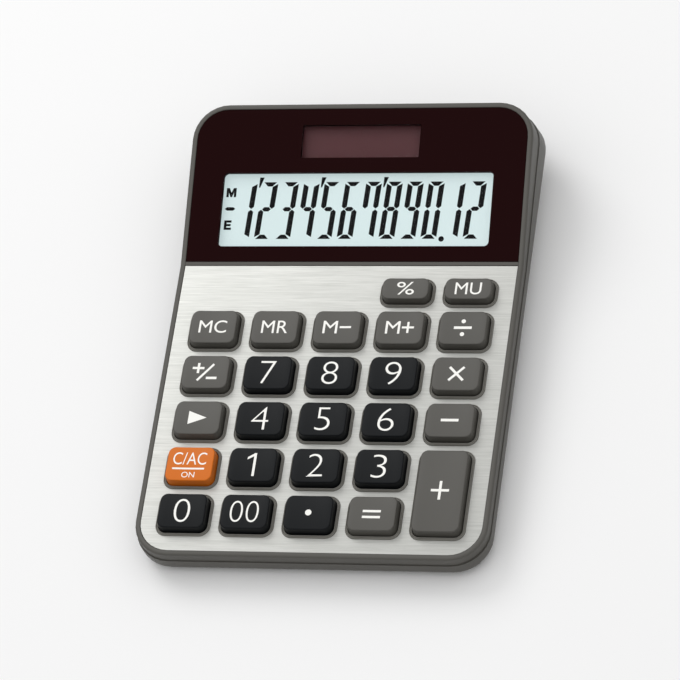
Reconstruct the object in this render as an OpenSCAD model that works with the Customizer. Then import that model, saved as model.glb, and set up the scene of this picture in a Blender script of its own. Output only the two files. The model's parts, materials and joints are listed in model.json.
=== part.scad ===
// Twelve-digit desk calculator: a tilted keypad with a display raised behind it.
// Two frames are used: one lies on the keypad, with its origin on the crease between
// keypad and display, and one lies on the display, hinged up about the same crease.

/* [Case] */
// Overall width, across the lower case
case_w = 107; // [104:0.5:112]
// Length of the keypad plane, from the crease to the front edge
keypad_len = 97.4; // [96.8:0.1:99]
// Length of the display plane, from the crease to the rear edge
display_len = 51.6; // [51.2:0.1:54]
// Radius of the four corners seen from above
corner_r = 11; // [10.5:0.25:13]
// Slope of the keypad above the desk, in degrees
keypad_slope = 3; // [2.5:0.1:3.5]
// Slope of the display above the keypad, in degrees
display_tilt = 12.3; // [12:0.1:13]
// Thickness of the case under the keypad
slab_t = 9.8; // [9.8:0.1:10.2]
// Thickness of the moulded walls
wall = 1.7; // [1.6:0.05:1.75]
// Depth of the seam between the two case halves, below the keypad plane
seam_drop = 3.6; // [3.2:0.1:4]
// How far the lower case stands out past the upper one
ledge = 0.3; // [0.1:0.05:0.4]
// Height of the rubber feet below the case
foot_h = 1; // [0.8:0.1:1.4]

/* [Keys] */
// Key pitch across the keypad
pitch_x = 19.17; // [19:0.01:19.2]
// Key pitch along the keypad
pitch_y = 15.33; // [15.2:0.01:15.4]
// Width of a key where it leaves its collar
key_w = 14.6; // [14.2:0.1:14.8]
// Length of a full key where it leaves its collar
key_l = 11.4; // [11:0.1:11.6]
// Length of a half key where it leaves its collar
half_key_l = 7.4; // [7:0.1:7.6]
// Height of the key tops above the keypad plane
key_h = 3.2; // [2.6:0.1:3.6]
// Play between a key and its opening, on each side
key_gap = 0.2; // [0.15:0.01:0.25]
// Thickness of the collar around each key
collar_t = 0.85; // [0.6:0.05:0.9]
// Height of the collar above the keypad plane
collar_h = 0.35; // [0.2:0.05:0.6]
// Travel of a key
key_travel = 1.5; // [1.2:0.1:1.5]

/* [Display] */
// Visible width of the liquid crystal display
lcd_view_w = 84; // [80:0.5:85]
// Visible height of the liquid crystal display
lcd_view_h = 23.3; // [22:0.1:24]
// Distance from the crease to the lower edge of the visible display
lcd_view_y = 6.1; // [6:0.1:6.4]
// Visible width of the solar cell
solar_view_w = 36.8; // [34:0.2:38]
// Visible height of the solar cell
solar_view_h = 10.4; // [9:0.1:10.8]
// Distance from the crease to the lower edge of the visible solar cell
solar_view_y = 34.1; // [34:0.1:34.6]

/* [Power] */
// Diameter of the button cell
cell_d = 11.6; // [11.5:0.1:11.6]
// Height of the button cell
cell_h = 5.4; // [5:0.1:5.4]
// Distance from the middle of the case back to the button cell
cell_y = 55; // [54:0.5:56]

/* [Hidden] */
$fn = 48;
eps = 0.01;
far = 200;
deep = 50;
clear = 10;

// Colours
case_grey = [0.36, 0.355, 0.34];
key_grey = [0.4, 0.39, 0.37];
key_black = [0.12, 0.135, 0.15];
key_orange = [0.85, 0.46, 0.17];
brass_yellow = [0.8, 0.68, 0.35];
board_green = [0.1, 0.36, 0.2];

// Case, measured from the keypad plane
upper_w = case_w - 2 * ledge;
edge_r = 3.2;
seam_rise = 6.3;
plate_recess = 0.7;
plate_t = 0.5;
plate_r = 10;
rim = 1.6;
deck_under = 2.3;
window_recess = 1.35;
deck_t = 1.2;
display_deck_under = window_recess + deck_t;
window_y = 1.2;
lip_t = 0.8;
lip_h = 1.2;
lip_root = 0.6;
part_gap = 0.1;
case_lap = 6;
room_lap = 3;

// Height of the crease above the desk, and its place along the case. The lowest point
// of the slab is its front edge, and the longest part of the case is at the seam.
crease_z = foot_h + (keypad_len - edge_r) * sin(keypad_slope) + slab_t * cos(keypad_slope);
side_depth = slab_t - edge_r;
function rear_y(z, grow) =
    display_len * cos(display_tilt)
    + (display_len * sin(display_tilt) - z) * tan(display_tilt)
    + grow;
front_reach = keypad_len * cos(keypad_slope) - seam_drop * sin(keypad_slope);
rear_reach = rear_y(-side_depth, 0) * cos(keypad_slope) + side_depth * sin(keypad_slope);
crease_y = (front_reach - rear_reach) / 2;

// Keys
collar_w = key_w + 2 * (key_gap + collar_t);
key_r = 2.2;
collar_margin = key_gap + collar_t;
last_row_y = -84.05;
half_row_y = -9.5;
flange_t = 0.9;
flange_reach = 0.8;
flange_top = deck_under + 0.05;
key_bottom = flange_top + flange_t;
top_inset = 0.3;
top_round = 0.35;
wide_key_l = key_l + pitch_y;
row_half = 0;
key_wall = 1.4;
key_post_r = 1.6;
key_top_t = 3.4;
side_z = 0.5;

// Board and keypad mat
board_w = 90.4;
board_t = 1.2;
squashed_dome = 0.75;
mat_t = 0.6;
board_top = key_bottom + key_travel + squashed_dome + mat_t;
board_front = -94;
board_rear = 10;
mat_top = board_top - mat_t;
mat_front = -93;
mat_rear = -3;
dome_h = mat_top - key_bottom - 0.05;
dome_r = 3.5;
dome_skin = 0.6;
dome_roof = 0.8;
dome_taper = 1.1;
board_boss_r = 1.9;
board_screw_r = 0.8;
board_screw_l = 3.6;
board_head_r = 1.6;
board_head_h = 0.7;
board_screw_spots = [
    for (x = [-1.5, 1.5], y = [-15, -45.6, -76.3]) [x * pitch_x, y],
    for (x = [-0.5, 0.5]) [x * pitch_x, -30.3]
];
holder_screw_spots = [[-42, 34.6], [42, 34.6]];
screw_play = 0.05;

// Case screws
screw_x = 48.2;
case_screw_spots = [for (x = [-screw_x, screw_x], y = [-84, -30.3, 40]) [x, y]];
case_boss_r = 2.2;
case_post_r = 2.5;
case_screw_r = 1;
case_head_r = 1.9;
case_head_h = 1.3;
cross_l = 2.2;
cross_w = 0.5;
cross_depth = 0.7;
join_z = 6.3;
rear_boss_top = 6.6;
head_seat_z = slab_t - 1.6;

// Display stack, measured from the display plane
window_top = 0.15;
mask_t = 0.2;
lcd_w = 90;
lcd_low_y = 3.3;
lcd_high_y = 31.2;
glass_t = 1.1;
film_t = 0.2;
lcd_top = display_deck_under + 0.1;
ledge_h = 2.9;
holder_t = 1.6;
holder_top = lcd_top + 2 * film_t + 2 * glass_t;
holder_wall = 0.8;
holder_ear_r = 3;
holder_opening = [70, 16];
solar_t = 1.1;
solar_margin = 2;
solar_l = 13;
view_play = 0.5;

// Rear block of the lower case, measured from the desk
block_half = 42;
block_front = 14;
block_rear = 66.5;
block_flare = 2;
block_slope = 8;
block_floor = 1.6;
block_top = 9.5;
pocket_front = 43;
cover_t = 1.2;
cover_half = 11;
cover_lip = 1;
slide_gap = 0.12;
pocket_side = 4;
pocket_ahead = 3;
pocket_roof = 1.4;
pocket_back = 0.8;
grip_count = 5;
grip_pitch = 1.6;
grip_w = 12;
grip_depth = 0.3;
well_wall = 1.6;
well_r = cell_d / 2 + 0.35;
cell_z = foot_h + cover_t + 0.25;
well_roof_z = cell_z + cell_h + 0.7;
roof_t = 1;
strip_w = 1.8;
strip_slot_w = 2.2;
contact_t = 0.3;
tail_y = 2.2;
tail_t = 0.6;

// Feet
front_foot = [42, -86];
front_foot_r = 4;
rear_foot = [34, 58];
rear_foot_r = 5;
foot_inset = 0.6;

module on_keypad() {
    translate([0, crease_y, crease_z]) rotate([keypad_slope, 0, 0]) children();
}

module on_display() {
    on_keypad() rotate([display_tilt, 0, 0]) children();
}

// Rounded rectangle about its centre, with true arcs
module round_rect(w, l, r) {
    square([w - 2 * r, l], center = true);
    square([w, l - 2 * r], center = true);
    for (x = [-1, 1], y = [-1, 1]) translate([x * (w / 2 - r), y * (l / 2 - r)]) circle(r);
}

// Rectangle from y0 to y1 with its two corners at y0 rounded
module one_end_round(w, y0, y1, r) {
    side = y1 > y0 ? 1 : -1;
    translate([-w / 2 + r, min(y0, y1)]) square([w - 2 * r, abs(y1 - y0)]);
    translate([-w / 2, side > 0 ? y0 + r : y1]) square([w, abs(y1 - y0) - r]);
    for (x = [-1, 1]) translate([x * (w / 2 - r), y0 + side * r]) circle(r);
}

// Slab with straight sides between two heights
module between(z0, z1) {
    translate([0, 0, z0]) linear_extrude(z1 - z0) children();
}

// Columns run from 0 at the left, rows from 0 at the rear
module key_spot(col, row) {
    y = row == row_half ? half_row_y : last_row_y + (5 - row) * pitch_y;
    translate([(col - 2) * pitch_x, y, 0]) children();
}

// Runs its children at the middle of every key, with $len as the key's length
module every_key() {
    for (col = [3, 4]) key_spot(col, row_half) {
        $len = half_key_l;
        children();
    }
    for (row = [1 : 5], col = [0 : 3]) key_spot(col, row) {
        $len = key_l;
        children();
    }
    for (row = [1 : 3]) key_spot(4, row) {
        $len = key_l;
        children();
    }
    key_spot(4, 4.5) {
        $len = wide_key_l;
        children();
    }
}

// Everything below the seam, which follows the keypad and then rises to the rear
module below_seam(lift = 0) {
    translate([-far / 2, -far, -seam_drop + lift - far / 2]) cube([far, far, far / 2]);
    translate([0, 0, -seam_drop + lift]) rotate([seam_rise, 0, 0])
        translate([-far / 2, -far / 2, -far / 2]) cube([far, far, far / 2]);
}

// Middles of the two windows, in the display frame
module lcd_view() {
    translate([0, lcd_view_y + lcd_view_h / 2]) children();
}

module solar_view() {
    translate([0, solar_view_y + solar_view_h / 2]) children();
}

module upper_outside() {
    difference() {
        union() {
            between(-slab_t, 0) one_end_round(upper_w, -keypad_len + ledge, case_lap, corner_r);
            rotate([display_tilt, 0, 0]) between(-2 * slab_t, 0)
                one_end_round(upper_w, display_len - ledge, 0, corner_r);
        }
        below_seam();
    }
}

module upper_inside(gap = 0) {
    inner_w = upper_w - 2 * wall - 2 * gap;
    inner_r = corner_r - wall;
    between(-deep, -deck_under)
        one_end_round(inner_w, -keypad_len + ledge + wall + gap, room_lap, inner_r);
    rotate([display_tilt, 0, 0]) between(-deep, -display_deck_under)
        one_end_round(inner_w, display_len - ledge - wall - gap, -room_lap / 3, inner_r);
}

module upper_case() {
    front_y = -keypad_len + ledge + rim;
    rear_edge = display_len - ledge - rim;
    color(case_grey) on_keypad() difference() {
        union() {
            difference() {
                upper_outside();
                upper_inside();
                between(-plate_recess, clear) one_end_round(upper_w - 2 * rim, front_y, -0.1, plate_r);
                rotate([display_tilt, 0, 0]) between(-window_recess, clear)
                    one_end_round(upper_w - 2 * rim, rear_edge, window_y, plate_r);
            }
            every_key() between(-deck_under, collar_h)
                round_rect(collar_w, $len + 2 * collar_margin, key_r + collar_margin);
            for (spot = board_screw_spots) translate(spot)
                between(-board_top, -deck_under) circle(board_boss_r);
            for (spot = case_screw_spots) translate(spot)
                between(-join_z, spot.y > 0 ? rear_boss_top : -deck_under) circle(case_boss_r);
            rotate([display_tilt, 0, 0]) for (spot = holder_screw_spots) translate(spot)
                between(-holder_top, -display_deck_under) circle(board_boss_r);
        }
        every_key() between(-clear, clear)
            round_rect(key_w + 2 * key_gap, $len + 2 * key_gap, key_r + key_gap);
        for (spot = board_screw_spots) translate(spot)
            between(-board_top - eps, -deck_under - 0.6) circle(board_screw_r + screw_play);
        for (spot = case_screw_spots) translate(spot)
            between(-join_z - eps, -deck_under - 0.4) circle(case_screw_r + screw_play);
        rotate([display_tilt, 0, 0]) {
            for (spot = holder_screw_spots) translate(spot)
                between(-holder_top - eps, -display_deck_under) circle(board_screw_r + screw_play);
            between(-clear, 0) {
                lcd_view() square([lcd_view_w, lcd_view_h] + 2 * [view_play, view_play], center = true);
                solar_view()
                    square([solar_view_w, solar_view_h] + 2 * [view_play, view_play], center = true);
            }
        }
    }
}

module face_plate() {
    margin = collar_margin + part_gap;
    front_y = -keypad_len + ledge + rim + part_gap;
    color("silver") on_keypad() between(-plate_recess, plate_t - plate_recess) difference() {
        one_end_round(upper_w - 2 * (rim + part_gap), front_y, -0.2, plate_r - part_gap);
        every_key() round_rect(key_w + 2 * margin, $len + 2 * margin, key_r + margin);
    }
}

// Outline shared by the clear window and the printed mask under it
module window_outline() {
    inset = rim + part_gap;
    rear_edge = display_len - ledge - inset;
    one_end_round(upper_w - 2 * inset, rear_edge, window_y + part_gap, plate_r - part_gap);
}

module display_window() {
    color([0.12, 0.06, 0.06, 0.6]) on_display()
        between(-window_recess + mask_t, -window_top) window_outline();
}

module window_mask() {
    color([0.1, 0.04, 0.04]) on_display()
        between(-window_recess, -window_recess + mask_t) difference() {
            window_outline();
            lcd_view() round_rect(lcd_view_w, lcd_view_h, 1.4);
            solar_view() round_rect(solar_view_w, solar_view_h, 0.4);
        }
}

// Flat sheet of the display stack: its depth, thickness and edges along the display
module lcd_sheet(depth, t, y0, y1) {
    between(-depth - t, -depth) translate([-lcd_w / 2, y0]) square([lcd_w, y1 - y0]);
}

module lcd_polariser() {
    color("lightcyan") on_display()
        lcd_sheet(lcd_top, film_t, lcd_low_y + ledge_h, lcd_high_y);
}

module lcd_glass() {
    color([0.8, 0.9, 0.9, 0.6]) on_display() {
        lcd_sheet(lcd_top + film_t, glass_t, lcd_low_y + ledge_h, lcd_high_y);
        lcd_sheet(lcd_top + film_t + glass_t, glass_t, lcd_low_y, lcd_high_y);
    }
}

module lcd_reflector() {
    color("gainsboro") on_display()
        lcd_sheet(lcd_top + film_t + 2 * glass_t, film_t, lcd_low_y, lcd_high_y);
}

module lcd_holder() {
    half = lcd_w / 2 + part_gap + holder_wall;
    length = lcd_high_y + 1 - lcd_low_y;
    color("white") on_display() difference() {
        union() {
            between(-holder_top - holder_t, -holder_top)
                translate([-half, lcd_low_y]) square([2 * half, length]);
            for (x = [-half, half - holder_wall]) between(-holder_top - holder_t, -lcd_top)
                translate([x, lcd_low_y]) square([holder_wall, length]);
            for (spot = holder_screw_spots) translate(spot)
                between(-holder_top - holder_t, -holder_top) {
                    circle(holder_ear_r);
                    translate([-holder_ear_r, -4]) square([2 * holder_ear_r, 4]);
                }
        }
        translate([0, (lcd_low_y + lcd_high_y) / 2 - 3]) between(-holder_top - clear, -holder_top + 1)
            square(holder_opening, center = true);
        for (spot = holder_screw_spots) translate(spot)
            between(-deep, deep) circle(board_screw_r + 3 * screw_play);
    }
}

// Flexible strip from the ledge of the glass down to the board, as a side view
ribbon_path = [
    [6.3, -2.6], [4, -3.1], [3.2, -3.5], [2.7, -4.3], [2.4, -5.3], [1.6, -6.05], [-1.8, -6.05]
];
ribbon_lift = [-0.1, 0.11];
ribbon_half = 40;

module lcd_ribbon() {
    back = [for (i = [len(ribbon_path) - 1 : -1 : 0]) ribbon_path[i] + ribbon_lift];
    color("khaki") on_keypad() translate([-ribbon_half, 0, 0])
        rotate([90, 0, 90]) linear_extrude(2 * ribbon_half) polygon(concat(ribbon_path, back));
}

module solar_cell() {
    color([0.3, 0.19, 0.2]) on_display() solar_view()
        between(-display_deck_under - solar_t, -display_deck_under)
            square([solar_view_w + 2 * solar_margin, solar_l], center = true);
}

// Thin wire swept through its points, as an eight-sided tube with flat ends
wire_r = 0.4;
wire_sides = 8;
wire_side_hint = [1, 0.35, 0.2];

function unit(v) = v / norm(v);

function wire_way(points, i) =
    let (last = len(points) - 1)
    unit((i > 0 ? unit(points[i] - points[i - 1]) : [0, 0, 0])
        + (i < last ? unit(points[i + 1] - points[i]) : [0, 0, 0]));

function wire_ring(points, i) =
    let (
        way = wire_way(points, i),
        across = unit(cross(way, wire_side_hint)),
        up = cross(way, across)
    )
    [for (k = [0 : wire_sides - 1]) let (turn = 360 * k / wire_sides)
        points[i] + wire_r * (cos(turn) * across + sin(turn) * up)];

module wire(points) {
    rings = len(points);
    n = wire_sides;
    polyhedron(
        points = [for (i = [0 : rings - 1]) each wire_ring(points, i)],
        faces = concat(
            [[for (k = [0 : n - 1]) k]],
            [for (i = [0 : rings - 2], k = [0 : n - 1]) let (next = (k + 1) % n)
                [i * n + k, (i + 1) * n + k, (i + 1) * n + next, i * n + next]],
            [[for (k = [n - 1 : -1 : 0]) (rings - 1) * n + k]]
        )
    );
}

module solar_wires() {
    color("firebrick") on_keypad() for (x = [-12, 12])
        wire([
            [x, 39.9, 4.6], [x, 39.9, 0], [x, 36, -2.5], [x, 20, -4.9],
            [x, 11, -4.9], [x, 9.2, -5.2], [x, 9.2, -board_top + 0.02]
        ]);
}

module board_outline() {
    difference() {
        translate([-board_w / 2, board_front]) square([board_w, board_rear - board_front]);
        for (spot = board_screw_spots) translate(spot) circle(board_screw_r + 2 * screw_play);
    }
}

module main_board() {
    color(board_green) on_keypad() between(-board_top - board_t, -board_top) board_outline();
}

// Drop of black resin over the chip, under the board
module chip_cap() {
    cap_h = 1.1;
    color("black") on_keypad() translate([22, 4.6, -board_top - board_t - cap_h])
        cylinder(h = cap_h, r1 = 3.6, r2 = 4.8);
}

module board_screw() {
    translate([0, 0, -board_head_h]) cylinder(h = board_head_h, r = board_head_r);
    cylinder(h = board_screw_l, r = board_screw_r);
}

module board_screws() {
    color("lightgray") {
        on_keypad() for (spot = board_screw_spots)
            translate([spot.x, spot.y, -board_top - board_t]) board_screw();
        on_display() for (spot = holder_screw_spots)
            translate([spot.x, spot.y, -holder_top - holder_t]) board_screw();
    }
}

module dome() {
    translate([0, 0, -mat_top]) difference() {
        cylinder(h = dome_h, r1 = dome_r, r2 = dome_r - dome_taper);
        translate([0, 0, -eps])
            cylinder(h = dome_h - dome_roof, r1 = dome_r - dome_skin, r2 = dome_r - dome_skin - 0.9);
    }
}

module keypad_mat() {
    color("whitesmoke") on_keypad() {
        between(-board_top, -mat_top) difference() {
            translate([-board_w / 2, mat_front]) square([board_w, mat_rear - mat_front]);
            for (spot = board_screw_spots) translate(spot) circle(board_boss_r + 0.2);
            every_key() circle(dome_r - dome_skin);
        }
        every_key() dome();
    }
}

// One key: a tapered cap with a rounded edge, hollow, on a post that meets the dome,
// and with a flange before and behind that holds it under the deck
module key(col, row, l, shade) {
    shoulder_z = key_h - top_round;
    under_top = key_h - key_top_t;
    top_cut = 2 * (top_inset + top_round);
    color(shade) on_keypad() key_spot(col, row) {
        difference() {
            union() {
                between(-key_bottom, side_z) round_rect(key_w, l, key_r);
                between(-key_bottom, -flange_top) round_rect(key_w, l + 2 * flange_reach, key_r);
                hull($fn = 24) {
                    between(side_z - eps, side_z) round_rect(key_w, l, key_r);
                    between(shoulder_z - eps, shoulder_z)
                        round_rect(key_w - 2 * top_inset, l - 2 * top_inset, key_r - 0.2);
                    between(key_h - eps, key_h) round_rect(key_w - top_cut, l - top_cut, key_r - 0.4);
                }
            }
            between(-key_bottom - eps, under_top)
                square([key_w - 2 * key_wall, l - 2 * key_wall], center = true);
        }
        between(-key_bottom, under_top + eps) circle(key_post_r);
    }
}

// Outline of the lower case at one height, grown outwards
module lower_outline(z, grow) {
    y0 = -keypad_len - grow;
    y1 = rear_y(z, grow);
    translate([0, (y0 + y1) / 2]) round_rect(case_w + 2 * grow, y1 - y0, corner_r + grow, $fn = 64);
}

module lower_body(shrink) {
    above = 8;
    edge = edge_r - shrink / 2;
    floor_z = -slab_t + shrink;
    low = floor_z + edge * (1 - sin(45));
    inset = edge * (1 - cos(45));
    hull() {
        between(above, above + eps) lower_outline(above, -shrink);
        between(-side_depth, -side_depth + eps) lower_outline(-side_depth, -shrink);
        between(low, low + eps) lower_outline(low, -shrink - inset);
        between(floor_z, floor_z + eps) lower_outline(floor_z, -shrink - edge);
    }
}

// Raised block under the display that holds the cell and tilts the case on the desk
module rear_block(shrink, top) {
    low = foot_h + shrink;
    front_low = block_front + block_slope + shrink / 2;
    half_top = block_half + block_flare - shrink;
    intersection() {
        translate([-far / 2, 0, 0]) rotate([90, 0, 90]) linear_extrude(far)
            polygon([
                [block_front + shrink, top], [front_low, low],
                [block_rear - shrink, low], [block_rear + block_flare + 1 - shrink, top]
            ]);
        translate([0, far / 2, 0]) rotate([90, 0, 0]) linear_extrude(far)
            polygon([
                [-half_top, top], [-block_half + shrink, low],
                [block_half - shrink, low], [half_top, top]
            ]);
    }
}

// Ring inside the wall between two levels of the seam: a gap below 0 runs into the wall
module lip_ring(gap, high, low) {
    intersection() {
        difference() {
            upper_inside(gap);
            upper_inside(part_gap + lip_t);
        }
        difference() {
            below_seam(high);
            below_seam(low - eps);
        }
    }
}

module cover_section(extra) {
    half = cover_half + extra;
    lip = 0.7 + 2 * extra;
    translate([-half, foot_h - 1]) square([2 * half, cover_t + 1 + extra]);
    translate([-half - cover_lip, foot_h + cover_t + extra - lip])
        square([2 * (half + cover_lip), lip]);
}

// Cover, or with extra its pocket, drawn as a section pushed along the case
module cover_run(y0, y1, extra) {
    translate([0, y1, 0]) rotate([90, 0, 0]) linear_extrude(y1 - y0) cover_section(extra);
}

module lower_case() {
    inside_z = foot_h + 1;
    pocket_y = pocket_front - pocket_ahead;
    color(case_grey) difference() {
        union() {
            difference() {
                union() {
                    on_keypad() intersection() {
                        lower_body(0);
                        below_seam();
                    }
                    rear_block(0, block_top);
                }
                on_keypad() lower_body(wall);
                rear_block(block_floor, block_top + 4);
            }
            on_keypad() {
                lip_ring(part_gap, lip_h, 0);
                lip_ring(-lip_root, 0, -lip_h);
                for (spot = case_screw_spots) translate(spot)
                    between(-slab_t + wall / 2, -join_z) circle(case_post_r);
            }
            translate([-cover_half - pocket_side, pocket_y, foot_h]) cube([
                2 * (cover_half + pocket_side), block_rear - pocket_back - pocket_y, cover_t + pocket_roof
            ]);
            translate([0, cell_y, inside_z])
                cylinder(h = well_roof_z + roof_t - inside_z, r = well_r + well_wall);
        }
        cover_run(pocket_front, block_rear + clear, slide_gap);
        translate([0, cell_y, inside_z]) cylinder(h = well_roof_z - inside_z, r = well_r);
        translate([-strip_slot_w / 2, cell_y - well_r - well_wall - 1, foot_h + cover_t + 0.2])
            cube([strip_slot_w, well_wall + 2, 2 * clear]);
        translate([-strip_slot_w / 2, cell_y + tail_y - 0.2, well_roof_z - eps])
            cube([strip_slot_w, tail_t + 0.4, roof_t + 1]);
        on_keypad() {
            for (spot = case_screw_spots) translate(spot) {
                between(-clear - slab_t, -head_seat_z) circle(case_head_r + 4 * screw_play);
                between(-clear, clear) circle(case_screw_r + 3 * screw_play);
            }
            for (x = [-1, 1]) translate([x * front_foot.x, front_foot.y])
                between(-clear - slab_t, -slab_t + foot_inset) circle(front_foot_r);
        }
        for (x = [-1, 1]) translate([x * rear_foot.x, rear_foot.y])
            between(0, foot_h + foot_inset) circle(rear_foot_r);
    }
}

module case_screw() {
    difference() {
        translate([0, 0, -case_head_h]) cylinder(h = case_head_h, r = case_head_r);
        translate([0, 0, -case_head_h - eps]) for (turn = [0, 90]) rotate(turn)
            translate([-cross_l / 2, -cross_w / 2, 0]) cube([cross_l, cross_w, cross_depth]);
    }
    cylinder(h = head_seat_z - deck_under - 0.8, r = case_screw_r);
}

module case_screws() {
    color("lightgray") on_keypad() for (spot = case_screw_spots)
        translate([spot.x, spot.y, -head_seat_z]) case_screw();
}

module battery_cover() {
    color(case_grey) difference() {
        cover_run(pocket_front + slide_gap, block_rear - 0.2, 0);
        translate([-far / 2, 0, foot_h - far]) cube([far, far, far]);
        for (i = [1 : grip_count])
            translate([-grip_w / 2, block_rear - 2 - i * grip_pitch, foot_h - eps])
                cube([grip_w, grip_pitch / 2, grip_depth]);
    }
}

module button_cell() {
    cap_h = 0.7;
    cap_inset = 1.8;
    color("gainsboro") translate([0, cell_y, cell_z]) {
        cylinder(h = cell_h - cap_h, r = cell_d / 2);
        cylinder(h = cell_h, r = cell_d / 2 - cap_inset);
    }
}

// Leaf over the cell: a disc under the roof and a tail that stands up through it
module cell_contact_top() {
    under_roof = contact_t + 0.05;
    color(brass_yellow) translate([0, cell_y, well_roof_z - under_roof]) {
        cylinder(h = contact_t, r = 3.6);
        translate([-strip_w / 2, tail_y, 0]) cube([strip_w, tail_t, roof_t + 1.2]);
    }
}

// Strip beside the cell, in the slot of the well
module cell_contact_side() {
    color(brass_yellow) translate([-strip_w / 2, cell_y - well_r - 0.1, cell_z + 0.4])
        cube([strip_w, contact_t, well_roof_z + roof_t - cell_z]);
}

module cell_wires() {
    wire_z = well_roof_z + roof_t + 0.6;
    run_z = 12.5;
    board_z = 10.1;
    color("black") {
        wire([
            [1, cell_y + 2.5, wire_z], [3, cell_y + 2.5, wire_z], [7, cell_y - 6, run_z],
            [7, 32.6, run_z], [7, 30.8, run_z - 0.5], [7, 30.8, board_z]
        ]);
        wire([
            [-1, cell_y - well_r - 0.3, wire_z], [-4, cell_y - well_r - 0.3, wire_z],
            [-7, cell_y - 12, run_z], [-7, 32.6, run_z], [-7, 30.8, run_z - 0.5],
            [-7, 30.8, board_z]
        ]);
    }
}

module rubber_feet() {
    play = 0.05;
    color([0.15, 0.15, 0.15]) {
        difference() {
            on_keypad() for (x = [-1, 1]) translate([x * front_foot.x, front_foot.y])
                between(-slab_t - 3, -slab_t + foot_inset) circle(front_foot_r - play);
            translate([-far / 2, -far / 2, -far]) cube([far, far, far]);
        }
        for (x = [-1, 1]) translate([x * rear_foot.x, rear_foot.y])
            between(0, foot_h + foot_inset) circle(rear_foot_r - play);
    }
}

upper_case();
face_plate();
display_window();
window_mask();
lcd_polariser();
lcd_glass();
lcd_reflector();
lcd_holder();
lcd_ribbon();
solar_cell();
solar_wires();
main_board();
chip_cap();
board_screws();
keypad_mat();
key(3, row_half, half_key_l, key_grey);  // key_percent
key(4, row_half, half_key_l, key_grey);  // key_mu
key(0, 1, key_l, key_grey);  // key_mc
key(1, 1, key_l, key_grey);  // key_mr
key(2, 1, key_l, key_grey);  // key_m_minus
key(3, 1, key_l, key_grey);  // key_m_plus
key(4, 1, key_l, key_grey);  // key_divide
key(0, 2, key_l, key_grey);  // key_sign
key(1, 2, key_l, key_black);  // key_7
key(2, 2, key_l, key_black);  // key_8
key(3, 2, key_l, key_black);  // key_9
key(4, 2, key_l, key_grey);  // key_times
key(0, 3, key_l, key_grey);  // key_backspace
key(1, 3, key_l, key_black);  // key_4
key(2, 3, key_l, key_black);  // key_5
key(3, 3, key_l, key_black);  // key_6
key(4, 3, key_l, key_grey);  // key_minus
key(0, 4, key_l, key_orange);  // key_clear
key(1, 4, key_l, key_black);  // key_1
key(2, 4, key_l, key_black);  // key_2
key(3, 4, key_l, key_black);  // key_3
key(4, 4.5, wide_key_l, key_grey);  // key_plus
key(0, 5, key_l, key_black);  // key_0
key(1, 5, key_l, key_black);  // key_00
key(2, 5, key_l, key_black);  // key_point
key(3, 5, key_l, key_grey);  // key_equals
lower_case();
case_screws();
battery_cover();
button_cell();
cell_contact_top();
cell_contact_side();
cell_wires();
rubber_feet();
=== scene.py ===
# %% [markdown]
# # A desk calculator
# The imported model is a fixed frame: it says where every part is and what moves. This lesson
# builds the visible skin of each part around it. First come the frame itself and the two
# tilted planes that a calculator is laid out on, the keypad and the display.

# %% The frame
import json
import math

import bmesh
import bpy
from mathutils import Matrix, Vector


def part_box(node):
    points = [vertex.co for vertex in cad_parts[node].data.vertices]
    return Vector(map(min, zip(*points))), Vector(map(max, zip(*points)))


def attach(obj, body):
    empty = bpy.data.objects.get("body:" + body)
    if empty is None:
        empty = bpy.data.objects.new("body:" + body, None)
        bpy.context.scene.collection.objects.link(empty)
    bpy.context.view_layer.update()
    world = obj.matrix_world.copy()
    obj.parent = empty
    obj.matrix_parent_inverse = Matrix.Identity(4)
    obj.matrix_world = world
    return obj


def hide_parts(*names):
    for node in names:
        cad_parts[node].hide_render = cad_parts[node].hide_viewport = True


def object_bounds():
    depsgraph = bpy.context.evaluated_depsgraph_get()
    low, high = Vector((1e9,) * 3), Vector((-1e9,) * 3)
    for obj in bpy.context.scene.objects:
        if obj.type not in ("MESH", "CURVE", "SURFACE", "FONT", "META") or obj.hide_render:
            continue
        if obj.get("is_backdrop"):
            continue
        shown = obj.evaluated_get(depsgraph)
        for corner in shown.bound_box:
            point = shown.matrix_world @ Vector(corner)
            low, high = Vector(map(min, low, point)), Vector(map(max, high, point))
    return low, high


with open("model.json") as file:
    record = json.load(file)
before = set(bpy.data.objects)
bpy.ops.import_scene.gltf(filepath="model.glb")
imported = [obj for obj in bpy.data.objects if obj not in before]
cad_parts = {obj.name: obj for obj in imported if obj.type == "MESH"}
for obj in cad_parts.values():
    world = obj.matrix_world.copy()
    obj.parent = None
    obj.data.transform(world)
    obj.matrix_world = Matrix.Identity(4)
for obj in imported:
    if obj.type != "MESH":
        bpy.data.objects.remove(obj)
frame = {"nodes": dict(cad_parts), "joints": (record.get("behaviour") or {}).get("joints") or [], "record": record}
CAD_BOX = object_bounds()
MM = 0.001
print("CAD box in mm:", [round(v / MM, 2) for corner in CAD_BOX for v in corner])

# %% [markdown]
# Lengths are in millimetres in two flat frames. One lies on the keypad and the other on the
# display, and they meet at the crease. The keys move square to the keypad, so a key's joint
# axis gives the keypad's slope. The plate's rear edge gives the crease: the plate stops
# 0.2 mm in front of it and 0.2 mm below it, and is 0.5 mm thick.

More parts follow.
